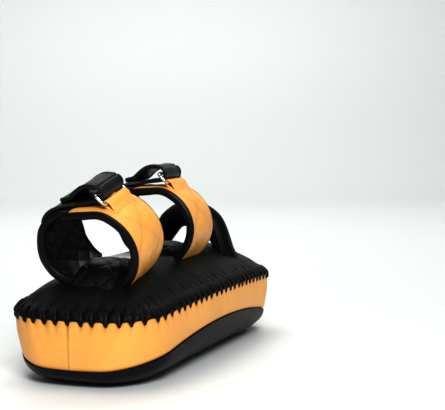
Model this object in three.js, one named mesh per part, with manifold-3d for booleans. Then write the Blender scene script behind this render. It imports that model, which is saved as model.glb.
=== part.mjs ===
// Thai pad: a curved kick and punch shield worn on the forearm, as an assembly of its separate pieces.
// Units are millimetres and +Z is up. The pad lies on its strike face with its forearm cuffs on top.
// X runs along the pad, from the elbow end at -X to the hand end at +X, and the origin is on the surface
// that the pad lies on, under its middle. Angles round a cuff start at its lowest point and rise on the
// -Y side, so 90 is the -Y side, 180 is the top and 270 is the +Y side.
import * as THREE from "three";
import { mergeVertices } from "three/addons/utils/BufferGeometryUtils.js";
import Module from "manifold-3d";

const wasm = await Module();
wasm.setup();

// ---- driving dimensions -------------------------------------------------------------------------
const GAP = 0.4; // clearance between pieces that touch on the real pad
const LEATHER = 2.0; // cover leather
const FACE_SLACK = 1.5; // between the strike cover and its foam

const PAD_LENGTH = 377.4; // seam outline before its ends and sides bulge
const PAD_WIDTH = 167.9;
const LOWER_SEAM_NARROWER = 3.7; // the lower seam is this much narrower than the upper one
const END_BULGE = 11.3;
const SIDE_BULGE = 8.8;
const UPPER_CORNER = 36.4;
const LOWER_CORNER = 52.4;

const LOWER_SEAM_HEIGHT = 20.9; // at the two ends
const LOWER_SEAM_RISE = 24.9; // extra at mid-length, which gives the pad its banana curve
const BAND_HEIGHT = 50.1;
const UPPER_SEAM_RISE = 7.9;
const STRIKE_DEPTH = 22.8; // strike face below the lower seam at the ends
const STRIKE_BELLY = 21.0; // extra at mid-length
const STRIKE_ROUND = 36.0; // width of the strike face's rounded margin
const STRIKE_POWER = 1.7;
const BACK_CROWN = 40.0; // back cover above the upper seam
const BACK_MARGIN = 75.0; // width over which it rises

const LACE_STAND = 3.2; // lace proud of the seam
const LACE_HALF_HEIGHT = 4.5;

const CUFF_HALF_WIDTH = 37.0; // along the forearm
const CUFF_RY = 65.6; // outer half-width and half-height of a closed cuff
const CUFF_RZ = 53.0;
const CUFF_LEATHER = 1.8;
const CUFF_FOAM = 4.2;
const CUFF_LINING = 1.8;
const PIPING = 3.0; // width of the bound edge
const ORANGE_FOOT = 44; // where the orange wing meets the back cover
const TONGUE_END = 197; // where the orange wing's tongue ends, under the strap
const WING_TOP = 206; // where the black wing ends and its strap goes on
const BLACK_FOOT = 342; // where the black wing meets the back cover
const CUFFS = [
  { name: "elbow", at: [-127.0, 8.1, 140.8], tilt: 12.1, yaw: 3.4 },
  { name: "wrist", at: [14.2, 8.1, 146.6], tilt: -0.9, yaw: 5.1 },
];

const STRAP_END = 219; // angle on the black wing where the strap is sewn on
const STRAP_HALF_WIDTH = 27.0; // at the ring
const STRAP_THICK = 3.6;
const STRAP_LEAVES = 170; // where the strap lifts off the wings and starts its fold
const TAB_THICK = 3.2;
const TAB_START = 165;
const TAB_END = 199;
const HOOK_LOOP_THICK = 0.6;
const CLOSURE = [189, 198]; // angles between which hook and loop meet
const PATCH_MARGIN = 3.0; // between the hook-and-loop patches and the strap's edges

const RING_WIRE = 1.8; // wire radius
const RING_HALF_LENGTH = 29.5; // along the bars, to the wire's centre
const RING_CORNER = 4.5; // radius of its corners, to the wire's centre
const RING_CORNER_STEPS = 3;
const WIRE_SIDES = 8;
const KEEPER_BAR = { angle: 154, off: 5.0 }; // the ring's two bars, by angle and height above the cuff
const STRAP_BAR = { angle: 164.5, off: 12.0 };
const KEEPER_HALF_WIDTH = 25.5;
const KEEPER_THICK = 1.8;
const KEEPER_INNER = 2.3; // inner radius of its fold round the bar
const KEEPER_TAIL = 138; // angle where its stitched tail ends
const KEEPER_NECK = [148, 149]; // angles where its lower and upper layers reach the fold
const KEEPER_NECK_HEIGHT = 7.6; // upper layer's height above the cuff there
const FOLD_INNER = 5.6; // inner radius of the strap's fold round the other bar
const FOLD_TURN = 0.95 * Math.PI; // how far round the bar the fold goes before the tab begins

const BASE_HALF_LENGTH = 40.0;
const BASE_Y = [-27.5, 15.0];
const BASE_THICK = 8.5;
const BASE_EDGE = 6.0; // width of its rounded margin
const BASE_EDGE_SHARE = 0.45; // its thickness at the very edge, as a share of the middle's

const GRIP_X = 116.0;
const GRIP_RADIUS = 15.0;
const GRIP_CORE_RADIUS = 12.6;
const GRIP_HALF_SPAN = 45.0;
const GRIP_RISE = 36.0; // grip's centre line above the back cover, at its middle
const GRIP_POWER = 3.0; // how square its arch is
const GRIP_STEPS = 16;
const GRIP_CURVE_SEGMENTS = 7;

const LABEL_X = [-76, -36];
const LABEL_Y = [-22, 42];
const LABEL_THICK = 1.0;

// ---- colours ------------------------------------------------------------------------------------
const leather = (color, roughness) => new THREE.MeshStandardMaterial({ color, roughness, metalness: 0 });
const BLACK_LEATHER = { color: 0x0d0d0f, roughness: 0.42 };
const ORANGE_LEATHER = { color: 0xe08a26, roughness: 0.38 };
const QUILTED = { color: 0x111113, roughness: 0.5 };
const FOAM = { color: 0x3a3c40, roughness: 0.95 };
const FASTENER = { color: 0x0a0a0a, roughness: 0.95 };
const LABEL = { color: 0xe6dedc, roughness: 0.8 };
const CHROME = { color: 0xd8dade, roughness: 0.12 };

const pad = new THREE.Group();

function add(name, geometry, finish, metalness = 0) {
  const material = leather(finish.color, finish.roughness);
  material.metalness = metalness;
  const mesh = new THREE.Mesh(geometry, material);
  mesh.name = name;
  pad.add(mesh);
  return mesh;
}

// ---- closed solids ------------------------------------------------------------------------------
// A solid from its vertices and faces, turned the right way out.
function closedSolid(vertices, faces) {
  let volume = 0;
  for (const [a, b, c] of faces) {
    volume += vertices[a].dot(new THREE.Vector3().crossVectors(vertices[b], vertices[c]));
  }
  const outward = volume < 0 ? faces.map(([a, b, c]) => [a, c, b]) : faces;
  const geometry = new THREE.BufferGeometry().setFromPoints(vertices);
  geometry.setIndex(outward.flat());
  geometry.computeVertexNormals();
  return geometry;
}

// A skin through equal closed rings: the last ring joins the first, or both ends are capped.
function loft(rings, joinEnds) {
  const count = rings[0].length;
  const faces = [];
  const spans = joinEnds ? rings.length : rings.length - 1;
  for (let r = 0; r < spans; r += 1) {
    const low = r * count;
    const high = ((r + 1) % rings.length) * count;
    for (let i = 0; i < count; i += 1) {
      const next = (i + 1) % count;
      faces.push([low + i, low + next, high + next]);
      faces.push([low + i, high + next, high + i]);
    }
  }
  if (!joinEnds) {
    const top = (rings.length - 1) * count;
    const flat = (points) => points.map((p) => new THREE.Vector2(p.x, p.y));
    const cap = (points) => THREE.ShapeUtils.triangulateShape(flat(points), []);
    for (const [a, b, c] of cap(rings[0])) faces.push([a, c, b]);
    for (const [a, b, c] of cap(rings.at(-1))) faces.push([top + a, top + b, top + c]);
  }
  return closedSolid(rings.flat(), faces);
}

// A bar of four-cornered sections. Opposite sides share their diagonals, so that twisted layers stay apart.
function bar(sections) {
  const faces = [];
  sections.slice(1).forEach((_, s) => {
    for (let i = 0; i < 4; i += 1) {
      const next = (i + 1) % 4;
      const [a, b, c, d] = [4 * s + i, 4 * s + next, 4 * s + 4 + next, 4 * s + 4 + i];
      if (i < 2) faces.push([a, b, c], [a, c, d]);
      else faces.push([a, b, d], [b, c, d]);
    }
  });
  const end = 4 * (sections.length - 1);
  faces.push([0, 2, 1], [0, 3, 2], [end, end + 1, end + 2], [end, end + 2, end + 3]);
  return closedSolid(sections.flat(), faces);
}

// A slab on a rectangular grid, between two height functions.
function slab(xs, ys, low, high) {
  const vertices = [];
  for (const height of [low, high]) {
    for (const x of xs) for (const y of ys) vertices.push(new THREE.Vector3(x, y, height(x, y)));
  }
  const at = (layer, i, j) => layer * xs.length * ys.length + i * ys.length + j;
  const faces = [];
  const quad = (a, b, c, d) => faces.push([a, b, c], [a, c, d]);
  for (let i = 0; i + 1 < xs.length; i += 1) {
    for (let j = 0; j + 1 < ys.length; j += 1) {
      quad(at(1, i, j), at(1, i + 1, j), at(1, i + 1, j + 1), at(1, i, j + 1));
      quad(at(0, i, j), at(0, i, j + 1), at(0, i + 1, j + 1), at(0, i + 1, j));
    }
  }
  const lastX = xs.length - 1;
  const lastY = ys.length - 1;
  for (let i = 0; i < lastX; i += 1) {
    quad(at(0, i, 0), at(0, i + 1, 0), at(1, i + 1, 0), at(1, i, 0));
    quad(at(0, i + 1, lastY), at(0, i, lastY), at(1, i, lastY), at(1, i + 1, lastY));
  }
  for (let j = 0; j < lastY; j += 1) {
    quad(at(0, 0, j + 1), at(0, 0, j), at(1, 0, j), at(1, 0, j + 1));
    quad(at(0, lastX, j), at(0, lastX, j + 1), at(1, lastX, j + 1), at(1, lastX, j));
  }
  return closedSolid(vertices, faces);
}

function toManifold(geometry) {
  const plain = new THREE.BufferGeometry();
  plain.setAttribute("position", geometry.getAttribute("position"));
  plain.setIndex(geometry.index);
  const merged = mergeVertices(plain, 1e-4);
  return new wasm.Manifold(
    new wasm.Mesh({
      numProp: 3,
      vertProperties: new Float32Array(merged.attributes.position.array),
      triVerts: new Uint32Array(merged.index.array),
    }),
  );
}

function fromManifold(solid) {
  const mesh = solid.getMesh();
  const geometry = new THREE.BufferGeometry();
  geometry.setAttribute("position", new THREE.BufferAttribute(new Float32Array(mesh.vertProperties), 3));
  geometry.setIndex(new THREE.BufferAttribute(new Uint32Array(mesh.triVerts), 1));
  return geometry;
}

const cut = (geometry, cutter) => fromManifold(toManifold(geometry).subtract(cutter));

// Even steps from one value to another, both included.
function steps(from, to, count) {
  return Array.from({ length: count + 1 }, (_, i) => from + ((to - from) * i) / count);
}

// A value read off a list of [position, value] pairs, straight between them.
function along(pairs, position) {
  const last = pairs.findIndex(([p]) => p >= position);
  if (last === 0) return pairs[0][1];
  if (last < 0) return pairs.at(-1)[1];
  const [p0, v0] = pairs[last - 1];
  const [p1, v1] = pairs[last];
  return v0 + ((v1 - v0) * (position - p0)) / (p1 - p0);
}

// ---- the pad's body -----------------------------------------------------------------------------
const CORNER_STEPS = 6;
const LONG_STEPS = 8;
const SHORT_STEPS = 4;

// The pad's outline, drawn in by inset: level 0 is the lower seam and 1 is the upper seam.
function outline(level, inset) {
  const width = PAD_WIDTH - LOWER_SEAM_NARROWER * (1 - level);
  const corner = THREE.MathUtils.lerp(LOWER_CORNER, UPPER_CORNER, level);
  const halfX = PAD_LENGTH / 2 - inset;
  const halfY = width / 2 - inset;
  const radius = Math.min(Math.max(corner - inset, 0.45 * corner), halfY - 0.05);
  const points = [];
  for (let quarter = 0; quarter < 4; quarter += 1) {
    const sideX = quarter === 0 || quarter === 3 ? 1 : -1;
    const sideY = quarter < 2 ? 1 : -1;
    const centre = new THREE.Vector2(sideX * (halfX - radius), sideY * (halfY - radius));
    for (const angle of steps((quarter * Math.PI) / 2, ((quarter + 1) * Math.PI) / 2, CORNER_STEPS)) {
      points.push(new THREE.Vector2(Math.cos(angle), Math.sin(angle)).multiplyScalar(radius).add(centre));
    }
    const runsAlongX = quarter % 2 === 0;
    const from = points.at(-1);
    const to = runsAlongX ? new THREE.Vector2(-from.x, from.y) : new THREE.Vector2(from.x, -from.y);
    const count = runsAlongX ? LONG_STEPS : SHORT_STEPS;
    for (const t of steps(0, 1, count).slice(1, -1)) points.push(from.clone().lerp(to, t));
  }
  const shrink = halfY / (width / 2);
  return points.map((p) => {
    const side = Math.sign(p.y) * SIDE_BULGE * shrink * (1 - (p.x / halfX) ** 2);
    const end = Math.sign(p.x) * END_BULGE * (1 - Math.min(1, (p.y / halfY) ** 2));
    return new THREE.Vector2(p.x + end, p.y + side);
  });
}

const arch = (x) => 1 - (x / (PAD_LENGTH / 2)) ** 2;
const lowerSeam = (x) => LOWER_SEAM_HEIGHT + LOWER_SEAM_RISE * arch(x);
const upperSeam = (x) => LOWER_SEAM_HEIGHT + BAND_HEIGHT + UPPER_SEAM_RISE * arch(x);

// How far each cover has turned away from its seam at an inset from the outline, from 0 to 1.
function strikeShare(inset) {
  const left = 1 - Math.min(inset / STRIKE_ROUND, 1);
  return (1 - left ** STRIKE_POWER) ** (1 / STRIKE_POWER);
}
const backShare = (inset) => 1 - (1 - Math.min(inset / BACK_MARGIN, 1)) ** 2;

function ring(level, inset, height) {
  return outline(level, inset).map((p) => new THREE.Vector3(p.x, p.y, height(p.x)));
}

// The strike face is pressed flat where it rests, so nothing reaches below zero.
function strikeHeight(x, inset, thickness) {
  const depth = (STRIKE_DEPTH + STRIKE_BELLY * arch(x) - thickness) * strikeShare(inset);
  return Math.max(lowerSeam(x) - GAP / 2 - depth, thickness);
}
function backHeight(x, inset, thickness) {
  return upperSeam(x) + GAP / 2 + (BACK_CROWN - thickness) * backShare(inset);
}

const STRIKE_INSETS = [0, 1.5, 5, 11, 20, 30, 44, 62, 79];
const BACK_INSETS = [0, 7, 16, 28, 42, 58, 79];

function strikeRings(thickness) {
  const narrow = (inset) => thickness + (inset * (STRIKE_ROUND - thickness)) / STRIKE_ROUND;
  return STRIKE_INSETS.map((inset) =>
    ring(0, thickness ? narrow(inset) : inset, (x) => strikeHeight(x, inset, thickness)),
  );
}

function backRings(thickness) {
  const narrow = (inset) => thickness + (inset * (BACK_MARGIN - thickness)) / BACK_MARGIN;
  return BACK_INSETS.map((inset) =>
    ring(1, thickness ? narrow(inset) : inset, (x) => backHeight(x, inset, thickness)),
  );
}

// A cup-shaped cover: its outer rings from the middle out to the seam, then its inner ones back.
const cover = (outer, inner) => loft([...outer.toReversed(), ...inner], false);

function makeBody() {
  add("strike_cover", cover(strikeRings(0), strikeRings(LEATHER)), BLACK_LEATHER);
  add("back_cover", cover(backRings(0), backRings(LEATHER)), BLACK_LEATHER);

  const bandLow = (x) => lowerSeam(x) + GAP / 2;
  const bandHigh = (x) => upperSeam(x) - GAP / 2;
  const band = [
    ring(0, 0, bandLow),
    ring(1, 0, bandHigh),
    ring(1, LEATHER, bandHigh),
    ring(0, LEATHER, bandLow),
  ];
  add("side_band", loft(band, true), ORANGE_LEATHER);

  const lining = LEATHER + GAP;
  const face = (x) => lowerSeam(x) - GAP;
  const strikeFoam = [ring(0, lining + 0.1, face), ...strikeRings(LEATHER + FACE_SLACK).slice(1)];
  add("impact_foam", loft(strikeFoam, false), FOAM);
  const coreFoam = [
    ring(0, lining, (x) => lowerSeam(x) + GAP),
    ring(1, lining, (x) => upperSeam(x) - GAP),
  ];
  add("core_foam", loft(coreFoam, false), FOAM);
  const backFoam = [ring(1, lining + 0.1, (x) => upperSeam(x) + GAP), ...backRings(lining).slice(1)];
  add("back_foam", loft(backFoam, false), FOAM);

  const lace = [
    ring(1, -GAP, (x) => upperSeam(x) - LACE_HALF_HEIGHT),
    ring(1, -LACE_STAND, (x) => upperSeam(x) - LACE_HALF_HEIGHT),
    ring(1, -LACE_STAND, (x) => upperSeam(x) + LACE_HALF_HEIGHT * 0.4),
    ring(1, -GAP, (x) => upperSeam(x) + LACE_HALF_HEIGHT),
  ];
  add("edge_lace", loft(lace, true), BLACK_LEATHER);
}

// How far inside the upper outline a point of the back lies.
function insetAt(x, y) {
  let low = 0;
  let high = PAD_WIDTH / 2 - 1;
  for (let i = 0; i < 30; i += 1) {
    const inset = (low + high) / 2;
    const halfX = PAD_LENGTH / 2 - inset;
    const halfY = PAD_WIDTH / 2 - inset;
    const reachY = halfY + SIDE_BULGE * (halfY / (PAD_WIDTH / 2)) * (1 - (x / halfX) ** 2);
    const reachX = halfX + END_BULGE * (1 - Math.min(1, (y / halfY) ** 2));
    if (Math.abs(x) < reachX && Math.abs(y) < reachY) low = inset;
    else high = inset;
  }
  return low;
}
const backSurface = (x, y) => backHeight(x, insetAt(x, y), 0);

// Everything below the back cover's outer surface, raised by a gap, for trimming what is sewn onto it.
const underBack = (() => {
  const raised = BACK_INSETS.map((inset) => ring(1, inset, (x) => backHeight(x, inset, 0) + GAP));
  return toManifold(loft([ring(1, 0, () => 0), ...raised], false));
})();

// ---- the forearm cuffs --------------------------------------------------------------------------
// Each table gives a length for some angles round the cuff, and lengths between them are interpolated.
// The orange wing's tongue dips under the strap. The black wing leans inwards, by one table for each of
// its two edges.
const TONGUE_DIP = [[150, 0], [157, -1.4], [164, -4], [171, -5.9], [180, -6.6], [188, -7], [197, -7.4]];
const WING_LEAN_HAND_SIDE = [
  [206, -3.4], [212, -4.6], [219, -8.5], [230, -17], [238, -22.5], [250, -27], [265, -29.5], [290, -30],
  [310, -28], [332, -22.5], [345, -19],
];
const WING_LEAN_ELBOW_SIDE = {
  elbow: [
    [206, -3.4], [212, -4.2], [219, -6], [233, -9.2], [246, -13.8], [256, -16], [272, -17.8], [291, -18.2],
    [304, -17.6], [319, -16.8], [345, -16.4],
  ],
  wrist: [
    [206, -3.4], [212, -4.6], [219, -8.5], [230, -17], [245, -27], [266, -36], [290, -38], [310, -36],
    [330, -30], [345, -25],
  ],
};
const STRAP_HEIGHT = [
  [164.5, 4.6], [170, 2.2], [176, 0], [182, -0.9], [188, -1.2], [199, -1.2], [206, -0.8], [212, -1.4],
  [219, -3],
];
const STRAP_TAPER = [[182, STRAP_HALF_WIDTH], [200, 33], [219, 35.5]];
const TAB_HEIGHT = [
  [165, 19.4], [169, 19.3], [173, 18.6], [176, 17.2], [180, 13.7], [184, 9.8], [187, 6.6], [189, 4.6],
  [199, 4.6],
];

// A point of the cuff's section, at a height above its ellipse.
function onCuff(angle, u, off) {
  const a = THREE.MathUtils.degToRad(angle);
  return new THREE.Vector3(u, -Math.sin(a) * (CUFF_RY + off), -Math.cos(a) * (CUFF_RZ + off));
}

// A band of the cuff between two angles, two places along the forearm and two heights.
function cuffBand(angles, near, far, low, high) {
  return bar(
    angles.map((angle) => [
      onCuff(angle, near, high(angle, near)),
      onCuff(angle, far, high(angle, far)),
      onCuff(angle, far, low(angle, far)),
      onCuff(angle, near, low(angle, near)),
    ]),
  );
}

// A strip of leather along a line of the cuff's section. halfWidth gives its half-width at each point.
function strip(centreLine, halfWidth, thickness) {
  const sections = centreLine.map((p, i) => {
    const before = centreLine[Math.max(i - 1, 0)];
    const after = centreLine[Math.min(i + 1, centreLine.length - 1)];
    const across = new THREE.Vector2(before.y - after.y, after.x - before.x).normalize();
    const half = halfWidth(i);
    const corner = (u, side) =>
      new THREE.Vector3(u, p.x + (across.x * side * thickness) / 2, p.y + (across.y * side * thickness) / 2);
    return [corner(-half, 1), corner(half, 1), corner(half, -1), corner(-half, -1)];
  });
  return bar(sections);
}

function sectionPoint(angle, off) {
  const p = onCuff(angle, 0, off);
  return new THREE.Vector2(p.y, p.z);
}

// Half a turn round a bar, on the side that faces down the cuff, from below the bar to above it or back.
function halfTurn(barAt, radius) {
  const centre = sectionPoint(barAt.angle, barAt.off);
  const outward = sectionPoint(barAt.angle, barAt.off + 1).sub(centre).normalize();
  const ahead = new THREE.Vector2(-outward.y, outward.x);
  return (turn, side) =>
    centre
      .clone()
      .addScaledVector(outward, -radius * Math.cos(turn))
      .addScaledVector(ahead, side * radius * Math.sin(turn));
}

// The strap lies on both wings, narrows towards the ring and goes round its bar.
function makeStrap() {
  const angles = steps(STRAP_END, STRAP_LEAVES, 9);
  const flat = angles.map((angle) => sectionPoint(angle, along(STRAP_HEIGHT, angle)));
  const turn = halfTurn(STRAP_BAR, FOLD_INNER + STRAP_THICK / 2);
  const line = [...flat, ...steps(0, FOLD_TURN, 7).map((t) => turn(t, 1))];
  const halfWidth = (i) => (i < angles.length ? along(STRAP_TAPER, angles[i]) : STRAP_HALF_WIDTH);
  return strip(line, halfWidth, STRAP_THICK);
}

function makeTab() {
  const angles = [TAB_START, 167, 170, 173, 176, 180, 184, 187, 189, 194, TAB_END];
  const line = angles.map((angle) => sectionPoint(angle, along(TAB_HEIGHT, angle)));
  return strip(line, () => STRAP_HALF_WIDTH, TAB_THICK);
}

// The keeper's two layers lie on the orange wing, and its fold goes round the ring's near bar.
function makeKeeper() {
  const radius = KEEPER_INNER + KEEPER_THICK / 2;
  const turn = halfTurn(KEEPER_BAR, radius);
  const [lowerEnd, upperStart] = KEEPER_NECK;
  const lowerHeight = KEEPER_THICK / 2 + GAP;
  const tailHeight = lowerHeight + KEEPER_THICK + GAP;
  const upperHeight = (angle) =>
    THREE.MathUtils.mapLinear(angle, KEEPER_TAIL, upperStart, tailHeight, KEEPER_NECK_HEIGHT);
  const lower = steps(KEEPER_TAIL, lowerEnd, 3).map((angle) => sectionPoint(angle, lowerHeight));
  const upper = steps(upperStart, KEEPER_TAIL, 3).map((angle) => sectionPoint(angle, upperHeight(angle)));
  const line = [...lower, ...steps(0.1, Math.PI, 6).map((t) => turn(t, -1)), ...upper];
  return strip(line, () => KEEPER_HALF_WIDTH, KEEPER_THICK);
}

// The rectangular wire ring: two long bars and two short sides with rounded corners.
function wireRing() {
  const nearBar = sectionPoint(KEEPER_BAR.angle, KEEPER_BAR.off);
  const farBar = sectionPoint(STRAP_BAR.angle, STRAP_BAR.off);
  const middle = nearBar.clone().lerp(farBar, 0.5);
  const aside = farBar.clone().sub(nearBar);
  const halfWidth = aside.length() / 2;
  aside.normalize();
  const sides = steps(0, 2 * Math.PI, WIRE_SIDES).slice(1);

  // One ring of the wire's surface, where its centre line has turned to an angle of a corner.
  function wireSection(angle, sideU, sideV) {
    const outU = Math.cos(angle);
    const outV = Math.sin(angle);
    const u = sideU * (RING_HALF_LENGTH - RING_CORNER) + RING_CORNER * outU;
    const v = sideV * (halfWidth - RING_CORNER) + RING_CORNER * outV;
    return sides.map((turn) => {
      const outwards = RING_WIRE * Math.cos(turn);
      const above = RING_WIRE * Math.sin(turn);
      const p = middle.clone().addScaledVector(aside, v + outV * outwards);
      return new THREE.Vector3(u + outU * outwards, p.x - aside.y * above, p.y + aside.x * above);
    });
  }

  const rings = [];
  for (let quarter = 0; quarter < 4; quarter += 1) {
    const sideU = quarter === 0 || quarter === 3 ? 1 : -1;
    const sideV = quarter < 2 ? 1 : -1;
    const turns = steps((quarter * Math.PI) / 2, ((quarter + 1) * Math.PI) / 2, RING_CORNER_STEPS);
    for (const angle of turns) rings.push(wireSection(angle, sideU, sideV));
  }
  return loft(rings, true);
}

function makeCuff({ name, at, tilt, yaw }) {
  const turn = new THREE.Euler(0, THREE.MathUtils.degToRad(-tilt), THREE.MathUtils.degToRad(yaw), "ZYX");
  const place = new THREE.Matrix4().makeRotationFromEuler(turn).setPosition(...at);
  const put = (part, geometry, finish, metalness) =>
    add(`${name}_${part}`, geometry.applyMatrix4(place), finish, metalness);
  const sew = (part, geometry, finish) =>
    add(`${name}_${part}`, cut(geometry.applyMatrix4(place), underBack), finish);
  const level = (value) => () => value;
  const dip = (value) => (angle) => value + along(TONGUE_DIP, angle);

  const leatherIn = -CUFF_LEATHER;
  const foamOut = leatherIn - GAP;
  const foamIn = foamOut - CUFF_FOAM;
  const liningOut = foamIn - GAP;
  const liningIn = liningOut - CUFF_LINING;
  const layers = [
    ["shell", 0, leatherIn],
    ["foam", foamOut, foamIn],
    ["lining", liningOut, liningIn],
  ];
  const half = CUFF_HALF_WIDTH;

  // Orange wing on the -Y side, from the back cover to the end of its tongue.
  const orangeAngles = steps(ORANGE_FOOT, TONGUE_END, 16);
  for (const [layer, high, low] of layers) {
    const finish = { shell: ORANGE_LEATHER, foam: FOAM, lining: QUILTED }[layer];
    sew(`orange_wing_${layer}`, cuffBand(orangeAngles, -half, half, dip(low), dip(high)), finish);
  }
  const bound = half + GAP;
  const edges = [
    ["elbow_side", -bound - PIPING, -bound],
    ["hand_side", bound, bound + PIPING],
  ];
  for (const [edge, from, to] of edges) {
    sew(`orange_piping_${edge}`, cuffBand(orangeAngles, from, to, dip(liningIn), dip(0)), BLACK_LEATHER);
  }

  // Black wing on the +Y side, up to where its strap takes over.
  const blackAngles = steps(WING_TOP, BLACK_FOOT, 12);
  const lean = (angle, u) => {
    const elbowSide = along(WING_LEAN_ELBOW_SIDE[name], angle);
    return THREE.MathUtils.mapLinear(u, -half, half, elbowSide, along(WING_LEAN_HAND_SIDE, angle));
  };
  for (const [layer, high, low] of layers) {
    const finish = { shell: BLACK_LEATHER, foam: FOAM, lining: QUILTED }[layer];
    const band = cuffBand(blackAngles, -half, half, (a, u) => lean(a, u) + low, (a, u) => lean(a, u) + high);
    sew(`black_wing_${layer}`, band, finish);
  }

  put("strap", makeStrap(), BLACK_LEATHER);
  put("tab", makeTab(), BLACK_LEATHER);
  const patchHalf = STRAP_HALF_WIDTH - PATCH_MARGIN;
  const [closureStart, closureEnd] = CLOSURE;
  const closureAngles = steps(closureStart, closureEnd, 2);
  const loopLow = along(STRAP_HEIGHT, closureStart) + STRAP_THICK / 2 + GAP;
  const hookHigh = along(TAB_HEIGHT, closureStart) - TAB_THICK / 2 - GAP;
  const patch = (low, high) => cuffBand(closureAngles, -patchHalf, patchHalf, level(low), level(high));
  put("loop_patch", patch(loopLow, loopLow + HOOK_LOOP_THICK), FASTENER);
  put("hook_patch", patch(hookHigh - HOOK_LOOP_THICK, hookHigh), FASTENER);

  put("ring", wireRing(), CHROME, 1);
  put("ring_keeper", makeKeeper(), ORANGE_LEATHER);

  // Quilted forearm rest on the back cover, between the wings.
  const [x] = at;
  const xs = steps(x - BASE_HALF_LENGTH, x + BASE_HALF_LENGTH, 6);
  const ys = steps(BASE_Y[0], BASE_Y[1], 5);
  const fromEdge = (px, py) =>
    Math.min(BASE_HALF_LENGTH - Math.abs(px - x), py - BASE_Y[0], BASE_Y[1] - py);
  const rise = (px, py) => {
    const share = Math.min(1, Math.max(0, fromEdge(px, py)) / BASE_EDGE);
    return BASE_THICK * (BASE_EDGE_SHARE + (1 - BASE_EDGE_SHARE) * Math.sin((share * Math.PI) / 2));
  };
  const low = (px, py) => backSurface(px, py) + GAP;
  add(`${name}_rest_pad`, slab(xs, ys, low, (px, py) => low(px, py) + rise(px, py)), QUILTED);
}

// ---- grip handle and label ----------------------------------------------------------------------
function makeGrip() {
  const rise = (y) => GRIP_RISE * (1 - Math.abs(y / GRIP_HALF_SPAN) ** GRIP_POWER);
  const route = (y) => backSurface(GRIP_X, y) + rise(y);
  const points = steps(-GRIP_HALF_SPAN, GRIP_HALF_SPAN, 12).map((y) => new THREE.Vector3(GRIP_X, y, route(y)));
  const curve = new THREE.CatmullRomCurve3(points);
  const circle = (radius) => new THREE.Shape().absarc(0, 0, radius, 0, 2 * Math.PI);
  const tube = circle(GRIP_RADIUS);
  tube.holes.push(new THREE.Path().absarc(0, 0, GRIP_CORE_RADIUS + GAP, 0, 2 * Math.PI, true));
  const howExtruded = { steps: GRIP_STEPS, curveSegments: GRIP_CURVE_SEGMENTS, extrudePath: curve };
  const extrude = (shape) => new THREE.ExtrudeGeometry(shape, howExtruded);
  const sewn = (geometry) => {
    const plain = geometry.clone();
    plain.deleteAttribute("normal");
    plain.deleteAttribute("uv");
    return cut(mergeVertices(plain, 1e-4), underBack);
  };
  add("grip_cover", sewn(extrude(tube)), BLACK_LEATHER);
  add("grip_core", sewn(extrude(circle(GRIP_CORE_RADIUS))), FOAM);
}

function makeLabel() {
  const low = (x, y) => backSurface(x, y) + GAP;
  const high = (x, y) => low(x, y) + LABEL_THICK;
  add("label_patch", slab(steps(...LABEL_X, 3), steps(...LABEL_Y, 5), low, high), LABEL);
}

makeBody();
CUFFS.forEach(makeCuff);
makeGrip();
makeLabel();

export default pad;
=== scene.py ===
"""Thai pad: the looks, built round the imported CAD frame.

Shapes are worked out in millimetres in the row frame and turned into metres when a mesh is made.
X runs from the elbow end to the hand end, the pad lies on its strike face, and +Z is up.
Angles round a cuff start at its lowest point and rise on the -Y side.
"""

import math

import bpy
import numpy as np
from mathutils import Matrix, Vector


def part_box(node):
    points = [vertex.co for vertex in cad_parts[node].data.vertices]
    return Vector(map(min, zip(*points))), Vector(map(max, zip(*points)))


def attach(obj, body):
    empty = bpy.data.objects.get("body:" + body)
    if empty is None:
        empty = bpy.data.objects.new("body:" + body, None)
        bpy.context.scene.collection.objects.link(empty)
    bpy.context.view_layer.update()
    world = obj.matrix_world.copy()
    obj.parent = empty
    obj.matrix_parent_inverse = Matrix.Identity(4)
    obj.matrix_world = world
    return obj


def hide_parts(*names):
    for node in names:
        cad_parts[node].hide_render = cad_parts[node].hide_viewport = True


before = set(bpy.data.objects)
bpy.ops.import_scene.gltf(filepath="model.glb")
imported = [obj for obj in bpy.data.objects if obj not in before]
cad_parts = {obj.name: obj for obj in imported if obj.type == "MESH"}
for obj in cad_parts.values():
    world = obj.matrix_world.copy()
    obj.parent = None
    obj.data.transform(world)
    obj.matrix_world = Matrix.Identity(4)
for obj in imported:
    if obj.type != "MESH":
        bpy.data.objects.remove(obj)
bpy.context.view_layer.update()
MM = 0.001

# ---- sizes shared with the CAD model, in millimetres ----
END_BULGE, SIDE_BULGE = 11.3, 8.8
UPPER_CORNER, LOWER_CORNER = 36.4, 52.4
LOWER_SEAM_NARROWER = 3.7
LOWER_SEAM_HEIGHT, LOWER_SEAM_RISE = 20.9, 24.9
BAND_HEIGHT, UPPER_SEAM_RISE = 50.1, 7.9
STRIKE_DEPTH, STRIKE_BELLY, STRIKE_ROUND, STRIKE_POWER = 22.8, 21.0, 36.0, 1.7
BACK_CROWN, BACK_MARGIN = 40.0, 75.0
LEATHER = 2.0

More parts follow.
